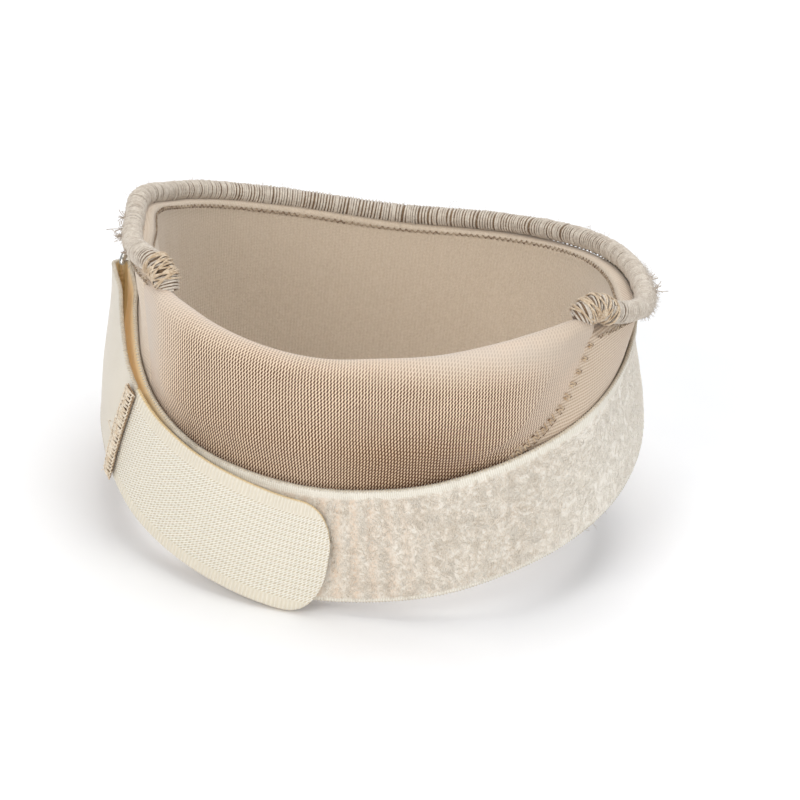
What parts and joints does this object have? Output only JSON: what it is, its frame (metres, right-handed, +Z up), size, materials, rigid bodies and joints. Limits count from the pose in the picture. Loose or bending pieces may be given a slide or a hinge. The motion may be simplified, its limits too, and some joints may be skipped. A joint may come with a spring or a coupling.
{
  "type": "patella strap",
  "caption": "Knee strap worn below the kneecap: foam front cushion, knit band with serged edges, and a loop strap drawn through a wire ring and held by a hook tab.",
  "frame": {"origin": "on the floor under the middle of the whole strap, centre of the lower face of its bounding box", "axes": "+Z up along the leg, -Y to the front where the cushion is, +X to the viewer's right as the wearer is seen from the front"},
  "size_m": [0.1318, 0.1224, 0.0783],
  "materials": {
    "pad_knit": "tan knit over foam",
    "band_knit": "grey-beige knit laminate",
    "edge_thread": "serged edge thread, slightly fuzzy",
    "loop_webbing": "cream brushed loop pile, smooth woven back",
    "hook_tape": "woven back of hook tape with ribbed edges",
    "seam_thread": "overlock stitching",
    "ring_wire": "bright nickel plated wire"
  },
  "bodies": {
    "root": {"front_pad": "pad_knit", "band": "band_knit", "edge_roll_top": "edge_thread", "edge_roll_bottom": "edge_thread", "loop_strap": "loop_webbing", "hook_tab": "hook_tape", "tab_seam": "seam_thread", "ring": "ring_wire", "ring_tab": "loop_webbing"}
  },
  "joints": []
}
